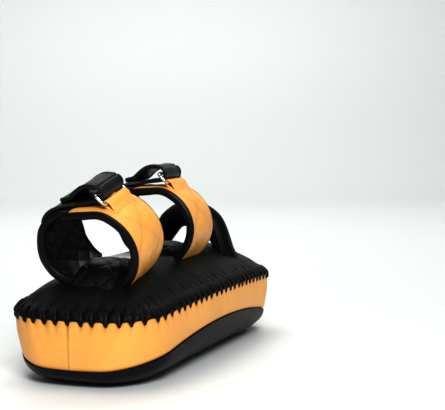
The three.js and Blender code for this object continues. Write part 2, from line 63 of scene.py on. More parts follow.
CUFF_HALF_WIDTH, CUFF_RY, CUFF_RZ = 37.0, 65.6, 53.0
CUFF_DEPTH = 8.6  # from the shell's outer face to the lining's inner face
TONGUE_END, WING_TOP = 197.0, 206.0
CUFFS = {
    "elbow": dict(at=(-127.0, 8.1, 140.8), tilt=12.1, yaw=3.4),
    "wrist": dict(at=(14.2, 8.1, 146.6), tilt=-0.9, yaw=5.1),
}
STRAP_HALF_WIDTH, STRAP_THICK = 27.0, 3.6
TAB_START, TAB_END, TAB_THICK = 165.0, 199.0, 3.2
PATCH_START, PATCH_END = 189, 198
KEEPER_BAR, STRAP_BAR = (154.0, 5.0), (164.5, 12.0)
KEEPER_HALF_WIDTH, KEEPER_THICK, KEEPER_INNER = 25.5, 1.8, 2.3
FOLD_INNER = 5.6
RING_WIRE, RING_HALF_LENGTH, RING_CORNER = 1.8, 29.5, 4.5
GRIP_X, GRIP_RADIUS, GRIP_HALF_SPAN, GRIP_RISE, GRIP_POWER = 116.0, 15.0, 45.0, 36.0, 3.0

band_high = np.array(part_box("side_band")[1]) / MM
PAD_LENGTH = 2 * (band_high[0] - END_BULGE)
PAD_WIDTH = 2 * (band_high[1] - SIDE_BULGE)

# ---- camera, lights and stage ----
CAMERA_AT = (-1.2126, -0.5744, 0.2788)
CAMERA_AZIMUTH, CAMERA_ELEVATION, CAMERA_ROLL = -68.203, 4.586, -0.780
LENS_MM, SENSOR_MM = 93.03, 36.0
LIGHTS = {  # where each lamp is, what it faces, its width and height, and its watts
    "key": ((-1.22, -0.80, 1.15), (-0.12, 0, 0.1), (0.7, 0.6), 32),
    "top": ((0.25, 0.35, 2.2), (0.1, 0.1, 0), (2.0, 1.6), 24),
    "backdrop": ((1.0, 0.6, 2.3), (2.4, 1.0, 0.6), (2.0, 1.0), 50),
}
FLOOR_HALF_WIDTH, FLOOR_FRONT, FLOOR_BACK = 4.0, -3.5, 2.2
BACKDROP_HEIGHT, BACKDROP_TURN = 3.0, 0.8


def add_object(name, data):
    new = bpy.data.objects.new(name, data)
    bpy.context.scene.collection.objects.link(new)
    return new


def make_camera():
    data = bpy.data.cameras.new("camera")
    data.lens = LENS_MM
    data.sensor_width = SENSOR_MM
    data.sensor_fit = "HORIZONTAL"
    camera = add_object("camera", data)
    azimuth, elevation, roll = (math.radians(a) for a in (CAMERA_AZIMUTH, CAMERA_ELEVATION, CAMERA_ROLL))
    level = math.cos(elevation)
    back = Vector((math.sin(azimuth) * level, -math.cos(azimuth) * level, math.sin(elevation)))
    right = Vector((math.cos(azimuth), math.sin(azimuth), 0))
    up = back.cross(right)
    rolled_right = right * math.cos(roll) + up * math.sin(roll)
    rolled_up = up * math.cos(roll) - right * math.sin(roll)
    turn = Matrix((rolled_right, rolled_up, back)).transposed()
    camera.matrix_world = Matrix.Translation(CAMERA_AT) @ turn.to_4x4()
    bpy.context.scene.camera = camera


def area_light(name, at, aim, size, watts):
    data = bpy.data.lights.new(name, "AREA")
    data.shape = "RECTANGLE"
    data.size, data.size_y = size
    data.energy = watts
    light = add_object(name, data)
    light.location = at
    light.rotation_euler = (Vector(aim) - Vector(at)).to_track_quat("-Z", "Y").to_euler()


def make_stage():
    world = bpy.data.worlds.new("studio")
    world.use_nodes = True
    background = world.node_tree.nodes["Background"]
    background.inputs["Color"].default_value = (0.95, 0.97, 0.96, 1)
    background.inputs["Strength"].default_value = 0.30
    bpy.context.scene.world = world
    bpy.context.scene.view_settings.view_transform = "Standard"
    bpy.context.scene.view_settings.gamma = 0.72

    for name, how in LIGHTS.items():
        area_light(name, *how)

    profile = [(FLOOR_FRONT, 0.0), (FLOOR_BACK, 0.0)]
    for a in np.linspace(0, math.pi / 2, 12)[1:]:
        profile.append((FLOOR_BACK + BACKDROP_TURN * math.sin(a), BACKDROP_TURN * (1 - math.cos(a))))
    profile.append((FLOOR_BACK + BACKDROP_TURN, BACKDROP_HEIGHT))
    away = np.array([-math.sin(math.radians(CAMERA_AZIMUTH)), math.cos(math.radians(CAMERA_AZIMUTH))])
    across = np.array([away[1], -away[0]])
    sides = (-FLOOR_HALF_WIDTH, FLOOR_HALF_WIDTH)
    vertices = [(*(away * d + across * side), z) for d, z in profile for side in sides]
    faces = [(2 * i, 2 * i + 1, 2 * i + 3, 2 * i + 2) for i in range(len(profile) - 1)]
    mesh = bpy.data.meshes.new("floor")
    mesh.from_pydata(vertices, [], faces)
    mesh.shade_smooth()
    floor = add_object("floor", mesh)
    look = Look("studio_floor")
    noise = look.node("TexNoise", Scale=2.0, Detail=2.0)
    look.colours(noise.outputs["Fac"], (0.665, 0.683, 0.675), (0.69, 0.708, 0.70))
    look.shader["Roughness"].default_value = 0.55
    mesh.materials.append(look.material)


# ---- materials ----
class Look:
    """A material being made: its nodes, its shader's sockets and the place that textures follow."""

    def __init__(self, name):
        self.material = bpy.data.materials.new(name)
        self.material.use_nodes = True
        self.nodes = self.material.node_tree.nodes
        self.link = self.material.node_tree.links.new
        self.shader = self.nodes["Principled BSDF"].inputs
        self.place = self.nodes.new("ShaderNodeTexCoord").outputs["Object"]

    def node(self, kind, **values):
        node = self.nodes.new("ShaderNode" + kind)
        for key, value in values.items():
            node.inputs[key.replace("_", " ")].default_value = value
        return node

    def texture(self, kind, **values):
        node = self.node(kind, **values)
        self.link(self.place, node.inputs["Vector"])
        return node

    def bump(self, height, strength, depth):
        """A bump of a depth in millimetres, on top of those made before it."""
        node = self.node("Bump", Strength=min(1.0, strength), Distance=depth * MM)
        self.link(height, node.inputs["Height"])
        normal = self.shader["Normal"]
        if normal.is_linked:
            self.link(normal.links[0].from_socket, node.inputs["Normal"])
        self.link(node.outputs["Normal"], normal)

    def ranged(self, value, low, high):
        node = self.node("MapRange", To_Min=low, To_Max=high)
        self.link(value, node.inputs["Value"])
        return node.outputs["Result"]

    def colours(self, factor, low, high, start=0.3, end=0.7):
        """A base colour that runs between two colours as the factor runs from start to end."""
        ramp = self.nodes.new("ShaderNodeValToRGB")
        for element, position, colour in zip(ramp.color_ramp.elements, (start, end), (low, high)):
            element.position = position
            element.color = (*colour, 1)
        self.link(factor, ramp.inputs["Fac"])
        self.link(ramp.outputs["Color"], self.shader["Base Color"])
        return ramp.outputs["Color"]


# Painted shade: this tint darkens the leather's colour in creases, seams and quilting lines, in place of real
# shade there.
PAINTED_SHADE_TINT = (0.42, 0.30, 0.22, 1)  # what a fully shaded crease multiplies the leather's colour by
LEATHERS = {  # colour, roughness, depth of grain, cell size in mm, creases, unevenness of colour, gloss
    "black": ((0.004, 0.0042, 0.0045), 0.42, 0.12, 1.2, 0.05, 0.25, 0.12),
    "strike": ((0.006, 0.0065, 0.007), 0.40, 0.08, 1.0, 0.03, 0.25, 0.16),
    "orange": ((0.83, 0.415, 0.10), 0.40, 0.05, 1.0, 0.04, 0.07, 0.5),
    "quilted": ((0.004, 0.0042, 0.0045), 0.36, 0.08, 1.1, 0.06, 0.25, 0.32),
    "binding": ((0.005, 0.005, 0.006), 0.38, 0.06, 0.9, 0.06, 0.25, 0.16),
    "strap": ((0.005, 0.0052, 0.006), 0.38, 0.10, 1.0, 0.05, 0.25, 0.3),
    "lace": ((0.004, 0.004, 0.005), 0.44, 0.08, 0.8, 0.08, 0.25, 0.16),
}


def leather(name, colour, roughness, grain, cell, crease, variation, gloss):
    """Leather: a cell grain with pores and creases, uneven in colour and gloss, with painted shade darkening
    its colour where the mesh's shade attribute says.
    """
    look = Look(name)
    pitch = cell * MM
    cells = look.node("TexVoronoi", Scale=1 / pitch)
    cells.feature = "DISTANCE_TO_EDGE"
    warp = look.texture("TexNoise", Scale=0.35 / pitch, Detail=2.0)
    bent = look.node("VectorMath")
    bent.operation = "MULTIPLY_ADD"
    bent.inputs[1].default_value = (0.9 * cell * MM,) * 3
    look.link(warp.outputs["Color"], bent.inputs[0])
    look.link(look.place, bent.inputs[2])
    look.link(bent.outputs[0], cells.inputs["Vector"])
    pores = look.texture("TexNoise", Scale=2.2 / pitch, Detail=3.0, Roughness=0.6)
    folds = look.texture("TexNoise", Scale=55.0, Detail=4.0, Roughness=0.62, Distortion=0.6)
    patches = look.texture("TexNoise", Scale=11.0, Detail=3.0, Roughness=0.55)
    flat_cells = look.node("MapRange", From_Max=0.25)
    look.link(cells.outputs["Distance"], flat_cells.inputs["Value"])
    look.bump(folds.outputs["Fac"], crease * 4, 0.9)
    look.bump(flat_cells.outputs["Result"], grain * 3, 0.10)
    look.bump(pores.outputs["Fac"], grain * 2, 0.06)
    low = tuple(c * (1 - variation) for c in colour)
    high = tuple(min(1.0, c * (1 + variation)) for c in colour)
    uneven = look.colours(patches.outputs["Fac"], low, high)
    # Painted shade: each vertex's shade amount mixes the colour towards the shade tint.
    shade = look.node("Attribute")
    shade.attribute_name = "shade"
    darker = look.node("Mix")
    darker.data_type = "RGBA"
    darker.blend_type = "MULTIPLY"
    darker.inputs["B"].default_value = PAINTED_SHADE_TINT
    look.link(shade.outputs["Fac"], darker.inputs["Factor"])
    look.link(uneven, darker.inputs["A"])
    look.link(darker.outputs["Result"], look.shader["Base Color"])
    worn = look.ranged(folds.outputs["Fac"], roughness - 0.07, roughness + 0.09)
    look.link(worn, look.shader["Roughness"])
    look.shader["Specular IOR Level"].default_value = gloss
    return look.material


def foam_material():
    look = Look("closed_cell_foam")
    cells = look.texture("TexVoronoi", Scale=900.0)
    look.bump(cells.outputs["Distance"], 0.5, 0.3)
    look.colours(cells.outputs["Distance"], (0.03, 0.03, 0.034), (0.06, 0.06, 0.065))
    look.shader["Roughness"].default_value = 0.95
    return look.material


def chrome_material():
    look = Look("chrome_wire")
    marks = look.texture("TexNoise", Scale=700.0, Detail=4.0)
    dull = look.texture("TexNoise", Scale=90.0, Detail=3.0)
    look.bump(marks.outputs["Fac"], 0.08, 0.05)
    look.colours(dull.outputs["Fac"], (0.62, 0.63, 0.65), (0.86, 0.87, 0.88))
    look.link(look.ranged(dull.outputs["Fac"], 0.08, 0.22), look.shader["Roughness"])
    look.shader["Metallic"].default_value = 1.0
    return look.material


def woven_material(name, low, high, pitch, roughness):
    """Woven cloth or hook-and-loop pile: two crossed waves as its threads."""
    look = Look(name)
    weave = look.node("Math")
    weave.operation = "MULTIPLY"
    for axis, factor in zip(("X", "Y"), weave.inputs):
        wave = look.texture("TexWave", Scale=1 / (2 * pitch * MM), Distortion=0.4, Detail=1.0)
        wave.bands_direction = axis
        look.link(wave.outputs["Fac"], factor)
    look.bump(weave.outputs[0], 0.6, 0.25)
    look.colours(weave.outputs[0], low, high, 0.1, 0.6)
    look.shader["Roughness"].default_value = roughness
    return look.material


# ---- meshes ----
def ripples(points, wavelength, seed, count=9):
    """Smooth noise from -1 to 1 at each point, as a sum of waves in random directions."""
    random = np.random.default_rng(seed)
    directions = unit(random.normal(size=(count, 3)))
    lengths = wavelength * random.uniform(0.7, 1.6, count)
    phases = random.uniform(0, 2 * np.pi, count)
    waves = np.sin(points @ (directions / lengths[:, None] * 2 * np.pi).T + phases)
    return waves.sum(-1) / math.sqrt(count) / 1.6


def smooth(value):
    value = np.clip(value, 0, 1)
    return value * value * (3 - 2 * value)


def unit(rows):
    return rows / np.linalg.norm(rows, axis=-1, keepdims=True)


def distances(line):
    """How far along a line each of its points is."""
    return np.concatenate([[0], np.cumsum(np.linalg.norm(np.diff(line, axis=0), axis=1))])


def sampled(points, places, spots):
    """Points between the given ones, whose places are known, at other spots."""
    return np.stack([np.interp(spots, places, points[:, k]) for k in range(points.shape[1])], 1)


def make_object(name, vertices, faces, material, shade=None, sharp=50.0):
    """A mesh object from millimetre vertices; sharp is the angle above which an edge isn't smoothed."""
    mesh = bpy.data.meshes.new(name)
    mesh.from_pydata((np.asarray(vertices) * MM).tolist(), [], faces)
    mesh.validate()
    mesh.shade_smooth()
    mesh.set_sharp_from_angle(angle=math.radians(sharp))
    # The painted shade amount at each vertex, kept as the shade attribute that darkens the leather's colour.
    values = np.zeros(len(mesh.vertices)) if shade is None else np.clip(shade, 0, 1)
    mesh.attributes.new("shade", "FLOAT", "POINT").data.foreach_set("value", values.astype(np.float32))
    mesh.materials.append(material)
    return add_object(name, mesh)


def skin(rings, joined=False):
    """Vertices and faces of a skin through equal closed rings; the ends are joined together, or capped."""
    rings = np.asarray(rings, float)
    count, size = rings.shape[:2]
    index = np.arange(count * size).reshape(count, size)
    low = index if joined else index[:-1]
    high = np.roll(index, -1, axis=0) if joined else index[1:]
    quads = np.stack([low, np.roll(low, -1, 1), np.roll(high, -1, 1), high], -1).reshape(-1, 4).tolist()
    if not joined:
        quads.append(index[0][::-1].tolist())
        quads.append(index[-1].tolist())
    vertices = rings.reshape(-1, 3)
    return vertices, facing_out(vertices, quads)


def facing_out(vertices, faces):
    """The faces turned so that the closed mesh has a positive volume."""
    triangles = [(face[0], *pair) for face in faces for pair in zip(face[1:], face[2:])]
    a, b, c = np.asarray(vertices)[np.array(triangles).T]
    return faces if (a * np.cross(b, c)).sum() > 0 else [face[::-1] for face in faces]


def loft(name, rings, material, joined=False, shade=None, sharp=50.0):
    vertices, faces = skin(rings, joined)
    flat_painted_shade = None if shade is None else np.asarray(shade, float).reshape(-1)
    return make_object(name, vertices, faces, material, flat_painted_shade, sharp)


def many_lofts(name, parts, material):
    """One object from several capped lofts, such as a row of stitches."""
    vertices, faces, start = [], [], 0
    for rings in parts:
        flat, own = skin(rings)
        faces += [[v + start for v in face] for face in own]
        vertices.append(flat)
        start += len(flat)
    return make_object(name, np.concatenate(vertices), faces, material)


# ---- the pad's outline and surfaces ----
CORNER_STEPS, LONG_STEPS, SHORT_STEPS = 38, 190, 56
QUARTERS = ((1, 1), (-1, 1), (-1, -1), (1, -1))  # the corners of a rounded box, in order round it


def outline(level, inset):
    """The pad's outline, drawn in by inset: level 0 is the lower seam and 1 is the upper one."""
    width = PAD_WIDTH - LOWER_SEAM_NARROWER * (1 - level)
    corner = LOWER_CORNER * (1 - level) + UPPER_CORNER * level
    half_x, half_y = PAD_LENGTH / 2 - inset, width / 2 - inset
    radius = min(max(corner - inset, 0.45 * corner), half_y - 0.05)
    points = []
    for quarter, (side_x, side_y) in enumerate(QUARTERS):
        centre = np.array([side_x * (half_x - radius), side_y * (half_y - radius)])
        for angle in np.linspace(quarter * np.pi / 2, (quarter + 1) * np.pi / 2, CORNER_STEPS + 1):
            points.append(centre + radius * np.array([math.cos(angle), math.sin(angle)]))
        start = points[-1]
        along_x = quarter % 2 == 0
        end = start * ((-1, 1) if along_x else (1, -1))
        count = LONG_STEPS if along_x else SHORT_STEPS
        points += [start + (end - start) * t for t in np.linspace(0, 1, count + 1)[1:-1]]
    points = np.array(points)
    shrink = half_y / (width / 2)
    side = np.sign(points[:, 1]) * SIDE_BULGE * shrink * (1 - (points[:, 0] / half_x) ** 2)
    end = np.sign(points[:, 0]) * END_BULGE * (1 - np.minimum(1, (points[:, 1] / half_y) ** 2))
    return points + np.stack([end, side], 1)


def arch(x):
    return 1 - (x / (PAD_LENGTH / 2)) ** 2


def lower_seam(x):
    return LOWER_SEAM_HEIGHT + LOWER_SEAM_RISE * arch(x)


def upper_seam(x):
    return LOWER_SEAM_HEIGHT + BAND_HEIGHT + UPPER_SEAM_RISE * arch(x)


def strike_share(inset):
    return (1 - (1 - np.minimum(inset / STRIKE_ROUND, 1)) ** STRIKE_POWER) ** (1 / STRIKE_POWER)


def back_share(inset):
    return 1 - (1 - np.minimum(inset / BACK_MARGIN, 1)) ** 2


def back_height(x, y):
    """The back cover's height over a point, from how far inside the upper outline it lies."""
    x, y = np.broadcast_arrays(np.asarray(x, float), np.asarray(y, float))
    low, high = np.zeros(x.shape), np.full(x.shape, PAD_WIDTH / 2 - 1)
    for _ in range(26):
        inset = (low + high) / 2
        half_x, half_y = PAD_LENGTH / 2 - inset, PAD_WIDTH / 2 - inset
        reach_y = half_y + SIDE_BULGE * (half_y / (PAD_WIDTH / 2)) * (1 - (x / half_x) ** 2)
        reach_x = half_x + END_BULGE * (1 - np.minimum(1, (y / half_y) ** 2))
        inside = (np.abs(x) < reach_x) & (np.abs(y) < reach_y)
        low, high = np.where(inside, inset, low), np.where(inside, high, inset)
    return upper_seam(x) + BACK_CROWN * back_share(low)


UPPER_OUTLINE = outline(1, 0)
ROUND = np.linalg.norm(np.roll(UPPER_OUTLINE, -1, 0) - UPPER_OUTLINE, axis=1)
STATION = np.concatenate([[0], np.cumsum(ROUND)[:-1]])  # distance round the upper seam
PERIMETER = ROUND.sum()


def stations_from(distance):
    """How far past a distance round the seam each station is, the short way."""
    return (STATION - distance + PERIMETER / 2) % PERIMETER - PERIMETER / 2


# ---- the whip-stitched lace: where its stitches are ----
STITCHES = 76
STITCH_PHASE = 505.8  # distance round the seam of one stitch
lace_random = np.random.default_rng(11)
stitch_at = STITCH_PHASE + PERIMETER / STITCHES * (
    np.arange(STITCHES) + lace_random.uniform(-0.09, 0.09, STITCHES)
)
stitch_at = np.sort(stitch_at % PERIMETER)
pucker_depth = lace_random.uniform(0.8, 1.9, STITCHES)
pucker_reach = lace_random.uniform(6.0, 15.0, STITCHES)
away = stations_from(stitch_at[:, None]).T
nearest = np.abs(away).argmin(1)
FROM_STITCH = away[np.arange(len(STATION)), nearest]  # signed distance to the nearest stitch
OWN_DEPTH, OWN_REACH = pucker_depth[nearest], pucker_reach[nearest]


def stitch_pinch(width):
    return np.exp(-((FROM_STITCH / width) ** 2))


def outward_normals(points):
    tangent = np.roll(points, -1, 0) - np.roll(points, 1, 0)
    return unit(np.stack([tangent[:, 1], -tangent[:, 0]], 1))


UPPER_NORMALS = np.column_stack([outward_normals(UPPER_OUTLINE), np.zeros(len(STATION))])


def body_ring(level, inset, height, out=0.0):
    """One closed ring of the body: out pushes it outwards, and height gives z from x."""
    flat = outline(level, inset)
    flat = flat + outward_normals(flat) * np.broadcast_to(np.asarray(out, float), (len(flat),))[:, None]
    return np.column_stack([flat, height(flat[:, 0])])


# ---- body ----
def strike_height(inset, thinner=0.0, lowest=0.0):
    """The height of the strike face's surface, as a function of x."""
    def height(x):
        depth = (STRIKE_DEPTH + STRIKE_BELLY * arch(x) - thinner) * strike_share(inset)
        return np.maximum(lower_seam(x) - 0.3 - depth, lowest)

    return height


def make_strike_cover(material):
    """Smooth leather shell over the strike face, pressed flat where it rests."""
    rings, painted_shades = [], []
    for inset in np.concatenate([np.linspace(81, 40, 16)[:-1], np.linspace(40, 0, 30)]):
        ring = body_ring(0, inset, strike_height(inset), out=0.9 * math.exp(-(((inset - 4) / 5) ** 2)))
        dent = 0.7 * ripples(ring, 70, 3) + 0.25 * ripples(ring, 24, 4)
        lift = smooth(ring[:, 2] / 6.0)
        margin = smooth(inset / 8)
        ring[:, 2] = np.maximum(ring[:, 2] + dent * lift * margin, 0)
        rings.append(ring)
        painted_shades.append(np.zeros(len(ring)))
    for inset, drop in ((0.9, -0.5), (LEATHER, 0.2), (LEATHER + 0.2, 2.0)):
        rings.append(body_ring(0, inset, lambda x, drop=drop: lower_seam(x) - 0.3 - drop))
        # Painted shade: the rings tucked into the lower seam are darkened.
        painted_shades.append(np.full(len(rings[0]), 0.4))
    for inset in (5, 12, 22, 34, 60, 79):
        inner = strike_height(inset, LEATHER, LEATHER * 0.9)
        rings.append(body_ring(0, LEATHER + inset * (1 - LEATHER / STRIKE_ROUND), inner))
        painted_shades.append(np.zeros(len(rings[0])))
    piece = loft("strike_cover_leather", rings, material, shade=painted_shades)
    finish_piece(piece, "pad", "black_leather", "strike_cover")


BAND_SEAM_AT = 477.2  # distance round the seam of the band's join, on the elbow end


def make_side_band(material):
    """Gusset of smooth leather, gathered between the lace's stitches and joined by one upright seam."""
    rings, painted_shades = [], []
    join = stations_from(BAND_SEAM_AT)
    rows = np.concatenate([[-0.03], np.linspace(0, 0.7, 14), np.linspace(0.74, 1.0, 12)])
    low, high = body_ring(0, 0, lower_seam), body_ring(1, 0, upper_seam)
    notch = 4.4 * np.clip(1 - np.abs(FROM_STITCH) / 3.0, 0, 1) ** 0.8
    gather = 0.5 + 0.5 * np.cos(2 * np.pi * np.clip(FROM_STITCH / (PERIMETER / STITCHES), -0.5, 0.5))
    for row in rows:
        t = max(row, 0)
        ring = low + (high - low) * t
        below = (1 - t) * BAND_HEIGHT
        ring[:, 2] -= notch * smooth((t - 0.72) / 0.28)
        reach = np.exp(-below / (OWN_REACH * 0.55))
        out = 1.5 * math.sin(math.pi * t) + reach * (1.1 * (1 - gather) - OWN_DEPTH * 0.8 * gather)
        out += 0.35 * ripples(ring, 34, 7) * math.sin(math.pi * t)
        out += -0.6 * np.exp(-((join / 1.2) ** 2)) + 0.8 * np.exp(-(((join - 2.6) / 1.6) ** 2))
        out += 0.45 * np.exp(-((join / 14) ** 2)) * np.sin(ring[:, 2] / 3.1 + 1.5 * np.sin(ring[:, 2] / 7.0))
        out -= 2.4 * math.exp(-((t / 0.035) ** 2)) if t < 0.2 else 0
        if row < 0:
            ring[:, 2] -= 0.5
            out -= 1.5
        rings.append(ring + UPPER_NORMALS * out[:, None])
        # Painted shade: darker along the lower seam, in the upright seam's crease and in the gathers beside
        # each stitch.
        edge = 0.55 * math.exp(-(t / 0.02)) if t < 0.2 else 0
        crease = np.exp(-((join / 1.1) ** 2)) * 0.5
        painted_shades.append(np.clip(edge + crease + 0.75 * reach * gather**3 + 0.15 * reach, 0, 1))
    for t in (1.0, 0.0):
        flat = low + (high - low) * t - UPPER_NORMALS * (LEATHER + 1.5)
        flat[:, 2] -= 5.0 * t
        rings.append(flat)
        # Painted shade on the band's turned-in inner face.
        painted_shades.append(np.full(len(flat), 0.5))
    piece = loft("side_band_leather", rings, material, joined=True, shade=painted_shades)
    finish_piece(piece, "pad", "orange_leather", "side_band")


RIM_OUT = 2.2  # how far the back cover's rim swells past the seam


def back_ring(inset):
    """One ring of the back cover, puckered at each stitch, with painted shade that darkens the puckers."""
    out = RIM_OUT * math.exp(-(((inset - 2.5) / 3.2) ** 2))
    rise = 2.6 * math.exp(-(((inset - 5.0) / 5.5) ** 2))
    ring = body_ring(1, inset, lambda x: upper_seam(x) + BACK_CROWN * back_share(inset) + rise, out=out)
    spread = 2.0 + 0.16 * inset
    pull = OWN_DEPTH * np.exp(-((inset / (OWN_REACH * 1.25)) ** 2)) * stitch_pinch(spread)
    puff = 0.9 * np.exp(-((inset / 11) ** 2)) * (1 - stitch_pinch(4.5))
    radial = outward_normals(ring[:, :2])
    lift = puff - 1.5 * pull
    sideways = np.exp(-((inset / 7.0) ** 2))
    ring[:, :2] += radial * (lift * sideways)[:, None]
    ring[:, 2] += lift * (1 - 0.4 * sideways)
    ring[:, 2] += (0.8 * ripples(ring, 60, 21) + 0.3 * ripples(ring, 22, 22)) * smooth(inset / 20)
    # Painted shade in the pucker at each stitch.
    return ring, np.clip(0.5 * pull / 1.9, 0, 1)


def make_back_cover(material):
    """Black leather over the domed back, swollen at its rim and puckered by the lace."""
    rings, painted_shades = [], []
    middle, margin, rim = np.linspace(81, 34, 18), np.linspace(34, 10, 14), np.linspace(10, 0, 14)
    for inset in np.concatenate([middle[:-1], margin[:-1], rim]):
        ring, shade = back_ring(inset)
        rings.append(ring)
        painted_shades.append(shade)
    droop = 1.2 + 2.6 * stitch_pinch(2.4)
    rings.append(rings[-1] - np.column_stack([outward_normals(UPPER_OUTLINE) * 0.2, droop]))
    # Painted shade where the rim droops into the seam.
    painted_shades.append(np.full(len(rings[0]), 0.5))
    rings.append(body_ring(1, LEATHER + 0.5, lambda x: upper_seam(x) - 0.4))
    painted_shades.append(painted_shades[-1])
    for inset in (8, 18, 34, 56, 78):
        rise = (BACK_CROWN - LEATHER) * back_share(inset) - 1.0
        rings.append(body_ring(1, inset, lambda x, rise=rise: upper_seam(x) + rise))
        painted_shades.append(np.zeros(len(rings[0])))
    piece = loft("back_cover_leather", rings, material, shade=painted_shades)
    finish_piece(piece, "pad", "black_leather", "back_cover")


def at_station(points, distance):
    """A point at a distance round the upper seam, on rings that share its stations."""
    stations = np.append(STATION, PERIMETER)
    closed = np.vstack([points, points[:1]])
    return sampled(closed, stations, [distance % PERIMETER])[0]


LACE_HALF_WIDTHS = (2.0, 2.5, 2.6, 2.6, 2.6, 2.5, 2.2, 1.5, 1.1)
LACE_HALF_THICKNESS = 0.75
LACE_SLANT = 4.2  # how far along the seam a stitch leans on its way over the rim
LACE_BITE = ((1.3, 2.2), (0.2, 4.6), (-1.6, 5.6))  # how far out and how far down it goes into the band


def make_lace(material):
    """Flat leather lace: each stitch comes out of the back, goes over the rim and bites into the band."""
    levels = {inset: back_ring(inset)[0] for inset in (9.0, 7.0, 5.0, 3.0, 1.5, 0.0)}
    seam = body_ring(1, 0, upper_seam)
    parts = []
    random = np.random.default_rng(5)
    for middle in stitch_at:
        lean = LACE_SLANT * random.uniform(0.7, 1.2)
        normal = at_station(UPPER_NORMALS, middle)
        route = []
        for step, inset in enumerate(levels):
            share = step / (len(levels) + 1)
            point = at_station(levels[inset], middle - lean * (1 - share))
            lifted = 1.0 if step else -0.9
            up_share = 0.25 + 0.75 * smooth(inset / 8)
            point = point + lifted * (normal * (1 - up_share) + np.array([0, 0, up_share]))
            route.append(point)
        low = at_station(seam, middle)
        route += [low + normal * out - np.array([0, 0, down]) for out, down in LACE_BITE]
        parts.append(strip_along(route, normal, LACE_HALF_WIDTHS, LACE_HALF_THICKNESS))
    piece = many_lofts("edge_lace_stitches", parts, material)
    finish_piece(piece, "pad", "lace", "edge_lace")


def strip_along(route, hint, widths, thick, sides=10, samples=18):
    """A soft flat strip along a route: widths are half-widths at its points, thick is half its thickness."""
    route = np.array(route)
    spots = np.linspace(0, len(route) - 1, samples)
    line = sampled(route, np.arange(len(route)), spots)
    for _ in range(2):
        line[1:-1] = (line[:-2] + 2 * line[1:-1] + line[2:]) / 4
    half = np.interp(spots, np.linspace(0, len(route) - 1, len(widths)), widths)
    tangent = unit(np.gradient(line, axis=0))
    across = unit(np.cross(tangent, hint + np.array([0, 0, 0.4])))
    outward = np.cross(across, tangent)
    turn = np.linspace(0, 2 * np.pi, sides, endpoint=False)
    ends = np.minimum(1, 0.35 + np.minimum(np.arange(samples), np.arange(samples)[::-1]) / 2)
    return (
        line[:, None]
        + across[:, None] * (half * ends)[:, None, None] * np.cos(turn)[None, :, None]
        + outward[:, None] * (thick * ends)[:, None, None] * np.sin(turn)[None, :, None]
    )


def finish_piece(piece, body, slot, *nodes):
    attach(piece, body)
    if nodes:
        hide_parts(*nodes)


# ---- cuffs ----
# Lengths for some angles round a cuff, with lengths between them interpolated.
TONGUE_DIP = ((150, 0), (157, -1.4), (164, -4), (171, -5.9), (180, -6.6), (188, -7), (197, -7.4))
WING_TOP_LEAN = ((187, -6.0), (192, -4.4), (197, -3.6), (206, -3.2))  # where the wing runs on over the tongue
WING_LEAN_HAND_SIDE = WING_TOP_LEAN + (
    (212, -4.6), (219, -8.5), (230, -17), (238, -22.5), (250, -27), (265, -29.5), (290, -30), (310, -28),
    (332, -22.5), (345, -19),
)
WING_LEAN_ELBOW_SIDE = {
    "elbow": WING_TOP_LEAN + (
        (212, -4.2), (219, -6), (233, -9.2), (246, -13.8), (256, -16), (272, -17.8), (291, -18.2),
        (304, -17.6), (319, -16.8), (345, -16.4),
    ),
    "wrist": WING_TOP_LEAN + (
        (212, -4.6), (219, -8.5), (230, -17), (245, -27), (266, -36), (290, -38), (310, -36), (330, -30),
        (345, -25),
    ),
}
STRAP_HEIGHT = (
    (164.5, 4.6), (170, 2.2), (176, 0), (182, -0.9), (188, -1.2), (199, -1.2), (206, -0.8), (212, -1.8),
    (219, -5), (226, -11),
)
SAG_START = 204  # from here on the strap lies along the wing's slope
STRAP_TAPER = ((182, STRAP_HALF_WIDTH), (200, 33), (212, 36.5), (226, 37.5))
TAB_HEIGHT = (
    (165, 19.4), (169, 19.3), (173, 18.6), (176, 17.2), (180, 13.7), (184, 9.8), (187, 6.6), (189, 4.6),
    (199, 4.6),
)


def along(pairs, position):
    positions, values = zip(*pairs)
    return np.interp(position, positions, values)


def smooth_along(pairs, position, reach=5.0):
    return sum(along(pairs, position + offset) for offset in np.linspace(-reach, reach, 9)) / 9


def on_cuff(angle, u, off):
    """Points of the cuff's own frame at an angle, a place along the forearm and a height."""
    a = np.radians(angle)
    return np.stack(np.broadcast_arrays(u, -np.sin(a) * (CUFF_RY + off), -np.cos(a) * (CUFF_RZ + off)), -1)


class Cuff:
    """Places one cuff's pieces in the row frame."""

    def __init__(self, name, at, tilt, yaw):
        self.name = name
        turn = Matrix.Rotation(math.radians(yaw), 3, "Z") @ Matrix.Rotation(math.radians(-tilt), 3, "Y")
        self.turn = np.array(turn)
        self.at = np.array(at)

    def place(self, points):
        return np.asarray(points) @ self.turn.T + self.at

    def loft(self, name, rings, material, **how):
        return loft(f"{self.name}_{name}", [self.place(ring) for ring in rings], material, **how)


def quilting(a, b, pitch, sharpness=0.30):
    """1 in the middle of each diamond and 0 on its stitched lines."""
    return np.abs(np.sin(np.pi * (a + b) / pitch) * np.sin(np.pi * (a - b) / pitch)) ** sharpness


def rounded_section(outer, inner):
    return np.concatenate([outer, inner[::-1]])


def orange_lean(angle, u):
    """The orange wing's lean, which is the same all along the forearm."""
    return np.full(np.shape(u), smooth_along(TONGUE_DIP, angle))


def black_lean(cuff_name):
    """The lean of one cuff's black wing, as a function of the angle and the place along the forearm."""
    def lean(angle, u):
        share = (np.asarray(u, float) + CUFF_HALF_WIDTH) / (2 * CUFF_HALF_WIDTH)
        elbow_side = smooth_along(WING_LEAN_ELBOW_SIDE[cuff_name], angle)
        return elbow_side + (smooth_along(WING_LEAN_HAND_SIDE, angle) - elbow_side) * share

    return lean


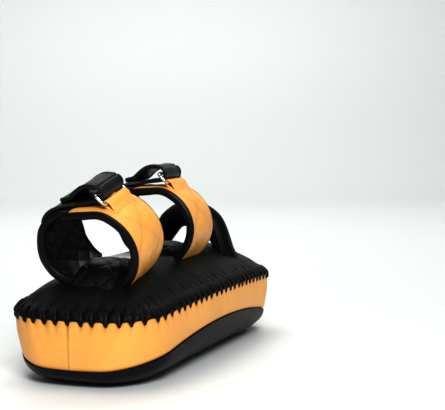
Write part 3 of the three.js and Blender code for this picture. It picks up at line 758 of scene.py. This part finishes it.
SHELL_U = np.linspace(-CUFF_HALF_WIDTH, CUFF_HALF_WIDTH, 48)
LINING_U = np.linspace(-CUFF_HALF_WIDTH, CUFF_HALF_WIDTH, 56)
INNER_U = np.linspace(-CUFF_HALF_WIDTH, CUFF_HALF_WIDTH, 12)
FOAM_U = np.linspace(-CUFF_HALF_WIDTH + 1.5, CUFF_HALF_WIDTH - 1.5, 12)
FOAM_INSET = 2.6  # from the shell's outer face, and from the lining's inner face
ORANGE_FOOT, BLACK_FOOT = 42, 344  # the angles where the wings reach the back cover
QUILT_PITCH, LINING_PITCH = 58.0, 26.0


def wing_shell(cuff, colour, angles, lean, material):
    """A wing's outer leather: crowned over its foam, with soft creases of wide diamond quilting, and painted
    shade along the quilting lines and where the edges tuck in.
    """
    rings, painted_shades = [], []
    for angle in angles:
        across = 1 - (SHELL_U / CUFF_HALF_WIDTH) ** 2
        quilt = quilting(angle, SHELL_U + 6, QUILT_PITCH, 0.28)
        crown = 1.7 * across**0.8 + 1.5 * (quilt - 0.8) * smooth(across * 3)
        base = on_cuff(angle, SHELL_U, 0)
        wave = (0.5 * ripples(base, 40, 31) + 0.22 * ripples(base, 14, 35)) * smooth(across * 4)
        height = lean(angle, SHELL_U) + crown + wave
        inner = on_cuff(angle, INNER_U, lean(angle, INNER_U) - 1.8)
        rings.append(rounded_section(on_cuff(angle, SHELL_U, height), inner))
        # Painted shade: darker where the edges tuck into the binding and along the quilting lines.
        tuck = smooth((np.abs(SHELL_U) - CUFF_HALF_WIDTH + 4) / 4)
        painted_shades.append(np.concatenate([0.35 * tuck + 0.35 * (1 - quilt) ** 2, np.zeros(len(INNER_U))]))
    shell = cuff.loft(f"{colour}_wing_leather", rings, material, shade=painted_shades, sharp=60)
    finish_piece(shell, "pad", f"{colour}_leather", f"{cuff.name}_{colour}_wing_shell")


def wing_lining(cuff, colour, angles, lean, material):
    """A wing's inner face, quilted in small diamonds that puff towards the forearm."""
    rings = []
    for angle in angles:
        puff = 1.7 * quilting(angle * 0.8, LINING_U, LINING_PITCH) * (1 - (LINING_U / CUFF_HALF_WIDTH) ** 8)
        face = on_cuff(angle, LINING_U, lean(angle, LINING_U) - CUFF_DEPTH + 0.9 - puff)
        back = on_cuff(angle, INNER_U, lean(angle, INNER_U) - CUFF_DEPTH + 1.8)
        rings.append(rounded_section(back, face))
    lining = cuff.loft(f"{colour}_wing_quilting", rings, material, sharp=60)
    finish_piece(lining, "pad", "quilted_lining", f"{cuff.name}_{colour}_wing_lining")


def wing_foam(cuff, colour, angles, lean, material):
    """The foam sheet between a wing's shell and its lining."""
    rings = []
    for angle in angles:
        outer = on_cuff(angle, FOAM_U, lean(angle, FOAM_U) - FOAM_INSET)
        inner = on_cuff(angle, FOAM_U, lean(angle, FOAM_U) - CUFF_DEPTH + FOAM_INSET)
        rings.append(rounded_section(outer, inner))
    foam = cuff.loft(f"{colour}_wing_foam_sheet", rings, material, sharp=60)
    finish_piece(foam, "pad", "foam", f"{cuff.name}_{colour}_wing_foam")


def binding_section(side, depth):
    """Section of the leather that closes a wing's edge: a soft roll with a sewn groove near its outer rim."""
    turn = np.linspace(math.pi / 2, -math.pi / 2, 19)
    groove = 0.55 * np.exp(-(((turn - 0.62) / 0.13) ** 2))
    reach = 3.0 - groove
    middle, half = -depth / 2, depth / 2 + 0.25
    outer = np.column_stack([CUFF_HALF_WIDTH - 0.7 + reach * np.cos(turn), middle + half * np.sin(turn)])
    corners = [[CUFF_HALF_WIDTH - 2.2, middle - half + 0.6], [CUFF_HALF_WIDTH - 2.2, middle + half - 0.6]]
    section = np.vstack([outer, corners])
    section[:, 0] *= side
    return section


def wing_bindings(cuff, colour, angles, lean, depth, material):
    for side, edge in ((-1, "elbow_side"), (1, "hand_side")):
        rings = []
        for angle in angles:
            section = binding_section(side, depth(angle))
            height = lean(angle, side * CUFF_HALF_WIDTH) + section[:, 1]
            ring = on_cuff(angle, section[:, 0], height)
            ring[:, 0] += 0.25 * ripples(ring, 22, 37)
            rings.append(ring)
        binding = cuff.loft(f"{colour}_binding_{edge}", rings, material, sharp=60)
        nodes = [f"{cuff.name}_orange_piping_{edge}"] if colour == "orange" else []
        finish_piece(binding, "pad", "piping", *nodes)


def section_point(angle, off):
    return on_cuff(angle, 0.0, off)[..., 1:]


def half_turn(bar, radius, turns, side):
    """Points of a turn round a ring's bar, from below it to above it."""
    centre = section_point(*bar)
    outward = unit(section_point(bar[0], bar[1] + 1) - centre)
    ahead = np.array([-outward[1], outward[0]])
    return [centre - outward * radius * math.cos(t) + ahead * side * radius * math.sin(t) for t in turns]


def section_normals(line):
    """Unit vectors square to a line of a cuff's section, at each of its points."""
    tangent = unit(np.gradient(line, axis=0))
    return np.stack([-tangent[:, 1], tangent[:, 0]], 1)


def dense_line(points, count):
    """Evenly spaced points along a smoothed line."""
    points = np.array(points, float)
    for _ in range(3):
        middle = (points[1:] + points[:-1]) / 2
        mixed = np.empty((len(points) + len(middle), points.shape[1]))
        mixed[0::2], mixed[1::2] = points, middle
        mixed[1:-1] = (mixed[:-2] + 2 * mixed[1:-1] + mixed[2:]) / 4
        points = mixed
    places = distances(points)
    return sampled(points, places, np.linspace(0, places[-1], count))


def strap_section(half_width, thickness, bound):
    """Places across a strap and half its thickness there: round edges, and a raised binding if it has one."""
    edge = 5.2
    inwards = edge * (1 - np.cos(np.linspace(0, np.pi / 2, 14)))
    middle = np.linspace(-half_width + edge, half_width - edge, 15)[1:-1]
    spots = np.concatenate([-half_width + inwards, middle, (half_width - inwards)[::-1]])
    from_edge = half_width - np.abs(spots)
    round_edge = np.sqrt(np.clip(1 - (1 - np.clip(from_edge / (thickness * 0.55), 0, 1)) ** 2, 0.0004, 1))
    binding = 0.55 * smooth((edge - 0.8 - from_edge) / 0.8) - 0.5 * np.exp(-(((from_edge - edge) / 0.7) ** 2))
    return spots, thickness / 2 * round_edge + (binding * smooth(from_edge / 1.2) if bound else 0)


def strap_strip(cuff, name, line, half_widths, thickness, material, bound=True, taper=0.0, seed=1, sag=None):
    """A leather strap along a line of its section, with soft waves and, if tapered, a rounded free end.

    sag lowers each section as a function of its place along the line and across the strap.
    """
    across, places = section_normals(line), distances(line)
    half_widths = np.broadcast_to(half_widths, len(line))
    rings = []
    for i in range(len(line)):
        narrow = 1.0
        left = (places[-1] - places[i]) / taper if taper else 1.0
        if left < 1:
            narrow = 1 - 0.16 * (1 - left) ** 3
        spots, halves = strap_section(half_widths[i] * narrow, thickness, bound)
        ends = min(1.0, 0.4 + min(i, len(line) - 1 - i) / 4)
        lowered = sag(i, spots) if sag else 0 * spots
        faces = []
        for sign in (1, -1):
            shift = halves * sign * ends + lowered
            faces.append(np.column_stack([spots, line[i] + across[i] * shift[:, None]]))
        ring = rounded_section(faces[0], faces[1])
        wave = 0.25 * ripples(ring, 26, seed) + 0.1 * ripples(ring, 9, seed + 1)
        ring[:, 1:] += across[i] * wave[:, None]
        rings.append(ring)
    return cuff.loft(name, rings, material, sharp=60)


def row_of_stitches(cuff, name, line, us, lift, material, spacing=4.2, length=2.8, skip=2.0):
    """Thread stitches lying on one face of a strap, in rows at the given places across it."""
    places = distances(line)
    count = int((places[-1] - 2 * skip) / spacing)
    raised = lift + 0.16 * np.sin(np.linspace(0, np.pi, 5))[:, None]
    fat = 0.34 * np.array([[0.5], [1], [1], [1], [0.5]])
    turn = np.linspace(0, 2 * np.pi, 6, endpoint=False)
    parts = []
    for u in us:
        for k in range(count):
            start = skip + (k + 0.15) * spacing
            middle = sampled(line, places, np.linspace(start, start + length, 5))
            across = section_normals(middle)
            centre = middle + across * raised
            rings = np.stack([
                u + fat * np.cos(turn),
                centre[:, :1] + across[:, :1] * fat * np.sin(turn),
                centre[:, 1:] + across[:, 1:] * fat * np.sin(turn),
            ], -1)
            parts.append(cuff.place(rings))
    return many_lofts(f"{cuff.name}_{name}", parts, material)


def make_closure(cuff, mats):
    """Strap, its fold round the ring, the tab, the ring, its keeper and the hook-and-loop patches."""
    name = cuff.name
    lean = black_lean(name)
    flat_angles = np.linspace(223, 169, 22)
    flat = [section_point(a, smooth_along(STRAP_HEIGHT, a, 3)) for a in flat_angles]
    fold = half_turn(STRAP_BAR, FOLD_INNER + STRAP_THICK / 2, np.linspace(0, np.pi, 14), 1)
    line = dense_line(flat + fold, 130)
    line_angles = np.degrees(np.arctan2(-line[:, 0], -line[:, 1])) % 360
    on_fold = (np.arange(len(line)) > 0.5 * len(line)) & (line_angles < 172)
    widths = np.where(on_fold, STRAP_HALF_WIDTH, smooth_along(STRAP_TAPER, line_angles, 3))

    def follow_wing(i, spots):
        slope = lean(line_angles[i], spots) - lean(line_angles[i], -CUFF_HALF_WIDTH)
        return -slope * smooth((line_angles[i] - SAG_START) / 12)

    strap = strap_strip(
        cuff, "strap_leather", line, widths, STRAP_THICK, mats["strap"], seed=41, sag=follow_wing
    )
    finish_piece(strap, "pad", "strap_leather", f"{name}_strap")

    angles = np.array([TAB_START - 0.6, 167, 169, 171, 173, 176, 180, 184, 187, 189, 194, TAB_END])
    line = dense_line([section_point(a, smooth_along(TAB_HEIGHT, a, 1)) for a in angles], 80)
    tab = strap_strip(
        cuff, "tab_leather", line, STRAP_HALF_WIDTH, TAB_THICK + 0.6, mats["strap"], taper=12.0, seed=43
    )
    finish_piece(tab, f"{name}_tab", "strap_leather", f"{name}_tab")
    seams = (-STRAP_HALF_WIDTH + 6.4, STRAP_HALF_WIDTH - 6.4)
    sewn = row_of_stitches(cuff, "tab_stitches", line[:-18], seams, TAB_THICK / 2 + 0.25, mats["thread"])
    finish_piece(sewn, f"{name}_tab", "strap_leather")

    patch_u = np.linspace(-STRAP_HALF_WIDTH + 3, STRAP_HALF_WIDTH - 3, 24)
    for part, low, high, body in (("loop_patch", 0.7, 1.7, "pad"), ("hook_patch", 2.0, 3.0, f"{name}_tab")):
        rings = []
        for angle in np.linspace(PATCH_START, PATCH_END, 16):
            fuzz = 0.12 * ripples(on_cuff(angle, patch_u, high), 3.0, 51)
            outer = on_cuff(angle, patch_u, high + fuzz)
            inner = on_cuff(angle, patch_u, low)
            rings.append(rounded_section(outer, inner))
        patch = cuff.loft(f"{part}_pile", rings, mats["pile"])
        finish_piece(patch, body, "hook_and_loop", f"{name}_{part}")

    radius = KEEPER_INNER + KEEPER_THICK / 2
    lower = [section_point(a, 0.6) for a in (141, 145, 148)]
    loop = half_turn(KEEPER_BAR, radius, np.linspace(0.2, 0.92 * np.pi, 9), -1)
    upper = [section_point(a, off) for a, off in KEEPER_TOP]
    line = dense_line(lower + loop + upper, 80)
    keeper = strap_strip(
        cuff, "ring_keeper_leather", line, KEEPER_HALF_WIDTH, KEEPER_THICK, mats["orange"], False, seed=47
    )
    finish_piece(keeper, "pad", "orange_leather", f"{name}_ring_keeper")

    finish_piece(make_wire_ring(cuff, mats["chrome"]), f"{name}_ring", "chrome", f"{name}_ring")


KEEPER_TOP = ((151, 7.2), (149, 5.2), (147, 3.8), (144, 2.4), (141, 0.9), (138, -1.4))


def make_wire_ring(cuff, material):
    """Rectangular wire ring with round corners and a closed round section."""
    a, b = section_point(*KEEPER_BAR), section_point(*STRAP_BAR)
    middle, aside = (a + b) / 2, b - a
    half = np.linalg.norm(aside) / 2
    aside = unit(aside)
    turn = np.linspace(0, 2 * np.pi, 20, endpoint=False)
    rings = []
    for quarter, (side_u, side_v) in enumerate(QUARTERS):
        for angle in np.linspace(quarter * np.pi / 2, (quarter + 1) * np.pi / 2, 10):
            across = np.array([math.cos(angle), math.sin(angle)])
            u = side_u * (RING_HALF_LENGTH - RING_CORNER) + RING_CORNER * across[0]
            v = side_v * (half - RING_CORNER) + RING_CORNER * across[1]
            out, above = RING_WIRE * np.cos(turn), RING_WIRE * np.sin(turn)
            along_v = v + across[1] * out
            rings.append(np.column_stack([
                u + across[0] * out,
                middle[0] + aside[0] * along_v - aside[1] * above,
                middle[1] + aside[1] * along_v + aside[0] * above,
            ]))
    return cuff.loft("ring_wire", rings, material, joined=True)


FLAP_START, FLAP_DEPTH = 188, 2.6  # the black wing's thin flap over the tongue
BLACK_LINING_START = 199
REST_HALF_LENGTH, REST_LOW_Y, REST_HIGH_Y, REST_THICK = 43.0, -33.0, 20.0, 8.8
REST_TUCK = 1.4  # how deep its sewn edge is tucked into the back cover
REST_RAMP, REST_SIDE = 30.0, 9.0  # widths over which its ends and its sides rise


def sheet_faces(columns, rows):
    """Faces of a closed slab made of two equal grids, the top one first."""
    index = np.arange(columns * rows).reshape(columns, rows)
    a, b, c, d = index[:-1, :-1], index[1:, :-1], index[1:, 1:], index[:-1, 1:]
    top = np.stack([a, b, c, d], -1).reshape(-1, 4)
    under = np.stack([a, d, c, b], -1).reshape(-1, 4) + columns * rows
    border = np.concatenate([index[:, 0], index[-1, 1:], index[-2::-1, -1], index[0, -2:0:-1]])
    following = np.roll(border, -1)
    sides = np.stack([following, border, border + columns * rows, following + columns * rows], -1)
    return np.concatenate([top, under, sides]).tolist()


def make_sheet(name, x, y, top, bottom, material, shade=None, sharp=50.0):
    """A closed slab over a grid of places, between its heights above and below."""
    vertices = np.concatenate([np.stack([x, y, z], -1).reshape(-1, 3) for z in (top, bottom)])
    faces = facing_out(vertices, sheet_faces(*x.shape))
    return make_object(name, vertices, faces, material, shade, sharp)


def make_rest_pad(cuff, material):
    """Quilted cushion that the forearm lies on, sewn to the back cover between the wings."""
    grid_u, grid_v = np.meshgrid(np.linspace(-1, 1, 84), np.linspace(-1, 1, 64), indexing="ij")
    half_y, mid_y = (REST_HIGH_Y - REST_LOW_Y) / 2, (REST_HIGH_Y + REST_LOW_Y) / 2
    corner = 1 - 0.07 * (grid_u * grid_v) ** 2
    x = cuff.at[0] + REST_HALF_LENGTH * grid_u * corner
    y = mid_y + half_y * grid_v * corner
    floor = back_height(x, y)
    from_end, from_side = (1 - np.abs(grid_u)) * REST_HALF_LENGTH, (1 - np.abs(grid_v)) * half_y
    ramp = np.sin(np.pi / 2 * np.clip(from_end / REST_RAMP, 0, 1))
    swell = ramp * np.sqrt(1 - (1 - np.clip(from_side / REST_SIDE, 0, 1)) ** 2)
    quilt = quilting(x + 3, y * 1.05, 30, 0.26)
    puff = 2.4 * (quilt - 0.8) * smooth(np.minimum(from_end, from_side) / 5)
    top = floor - REST_TUCK + (REST_THICK + REST_TUCK) * swell + puff
    top += 0.35 * ripples(np.stack([x, y, floor], -1), 30, 61)
    # Painted shade along the quilting lines of the top.
    shade = np.concatenate([(0.8 * (1 - quilt) ** 2).ravel(), np.zeros(x.size)])
    bottom = floor - 2 * REST_TUCK
    piece = make_sheet(f"{cuff.name}_rest_pad_quilted", x, y, top, bottom, material, shade, sharp=75)
    finish_piece(piece, "pad", "quilted_lining", f"{cuff.name}_rest_pad")


def black_depth(angle):
    """How thick the black wing is: a thin flap over the tongue, and full further down."""
    return FLAP_DEPTH + (CUFF_DEPTH - FLAP_DEPTH) * float(smooth((angle - FLAP_START) / 18))


def make_cuffs(mats):
    for name, how in CUFFS.items():
        cuff = Cuff(name, **how)
        orange_angles = np.linspace(ORANGE_FOOT, TONGUE_END, 170)
        wing_shell(cuff, "orange", orange_angles, orange_lean, mats["orange"])
        wing_lining(cuff, "orange", orange_angles, orange_lean, mats["quilted"])
        wing_bindings(cuff, "orange", orange_angles, orange_lean, lambda angle: CUFF_DEPTH, mats["binding"])

        # The black wing's leather runs on over the tongue, under the strap, and thins out there.
        outer_angles = np.linspace(FLAP_START, BLACK_FOOT, 150)
        lean = black_lean(name)
        wing_shell(cuff, "black", outer_angles, lean, mats["black"])
        wing_lining(cuff, "black", np.linspace(BLACK_LINING_START, BLACK_FOOT, 130), lean, mats["quilted"])
        wing_foam(cuff, "orange", np.linspace(ORANGE_FOOT + 2, TONGUE_END - 2, 60), orange_lean, mats["foam"])
        wing_foam(cuff, "black", np.linspace(WING_TOP, BLACK_FOOT - 2, 60), lean, mats["foam"])
        wing_bindings(cuff, "black", outer_angles, lean, black_depth, mats["binding"])
        make_closure(cuff, mats)
        make_rest_pad(cuff, mats["quilted"])


# ---- grip and label ----
GRIP_TURN = np.linspace(0, 2 * np.pi, 48, endpoint=False)
GRIP_OVERHANG, GRIP_SINK = 6, 1.6  # how far it runs on past its span, and how steeply it sinks in there
GRIP_FLARE = 16  # length of its wider end
GRIP_CORE_SHARE = 0.82


def grip_section(y, size):
    """One ring of the grip roll at a share of its full size, gathered and flattened where it is sewn down."""
    share = min(1.0, abs(y) / GRIP_HALF_SPAN)
    sunk = GRIP_SINK * max(0.0, abs(y) - GRIP_HALF_SPAN)
    height = float(back_height(GRIP_X, y)) + GRIP_RISE * (1 - share**GRIP_POWER) - sunk
    flare = smooth((abs(y) - GRIP_HALF_SPAN + GRIP_FLARE) / GRIP_FLARE)
    gathers = size * (1 + 0.035 * flare * np.cos(GRIP_TURN * 11))
    across = GRIP_RADIUS * (1 + 0.16 * flare) * gathers * np.cos(GRIP_TURN)
    deep = GRIP_RADIUS * (1 - 0.30 * flare) * gathers * np.sin(GRIP_TURN)
    slope = -GRIP_RISE * GRIP_POWER * share ** (GRIP_POWER - 1) / GRIP_HALF_SPAN * np.sign(y)
    length = math.hypot(1, slope)
    return np.column_stack([GRIP_X + across, y - slope / length * deep, height + deep / length])


def make_grip(cover_material, foam):
    """Leather roll arched across the back, with a seam along its underside, and the foam roll inside it."""
    span = GRIP_HALF_SPAN + GRIP_OVERHANG
    outwards = np.column_stack([np.cos(GRIP_TURN), 0 * GRIP_TURN, np.sin(GRIP_TURN)])
    seam = 0.9 * np.exp(-(((GRIP_TURN - 1.5 * np.pi) / 0.09) ** 2))
    rings = []
    for y in np.linspace(-span, span, 110):
        ring = grip_section(y, 1.0)
        ring += (0.35 * ripples(ring, 18, 71))[:, None] * outwards
        ring[:, 2] += seam
        rings.append(ring)
    cover = loft("grip_cover_leather", rings, cover_material, sharp=60)
    finish_piece(cover, "pad", "black_leather", "grip_cover")
    core_rings = [grip_section(y, GRIP_CORE_SHARE) for y in np.linspace(-span + 1, span - 1, 60)]
    core = loft("grip_core_foam", core_rings, foam)
    finish_piece(core, "pad", "foam", "grip_core")


def make_label(material):
    low, high = np.array(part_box("label_patch")) / MM
    x, y = np.meshgrid(np.linspace(low[0], high[0], 40), np.linspace(low[1], high[1], 60), indexing="ij")
    top = back_height(x, y) + 1.3 + 0.25 * ripples(np.stack([x, y, 0 * x], -1), 20, 81)
    piece = make_sheet("label_patch_woven", x, y, top, top - 1.1, material)
    finish_piece(piece, "pad", "label", "label_patch")


# ---- build ----
make_camera()
make_stage()

mats = {name: leather(f"{name}_leather", *how) for name, how in LEATHERS.items()}
mats |= {
    "thread": woven_material("thread", (0.008, 0.008, 0.009), (0.03, 0.03, 0.032), 0.5, 0.7),
    "pile": woven_material("hook_and_loop_pile", (0.004, 0.004, 0.004), (0.02, 0.02, 0.021), 0.9, 0.95),
    "label": woven_material("woven_label", (0.62, 0.57, 0.56), (0.86, 0.82, 0.81), 0.7, 0.8),
    "chrome": chrome_material(),
    "foam": foam_material(),
}

make_strike_cover(mats["strike"])
make_side_band(mats["orange"])
make_back_cover(mats["black"])
make_lace(mats["lace"])
make_cuffs(mats)
make_grip(mats["black"], mats["foam"])
make_label(mats["label"])

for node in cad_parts.values():  # the layers inside, which no visible piece replaces
    if not node.hide_render:
        node.data.materials.clear()
        node.data.materials.append(mats["foam"])
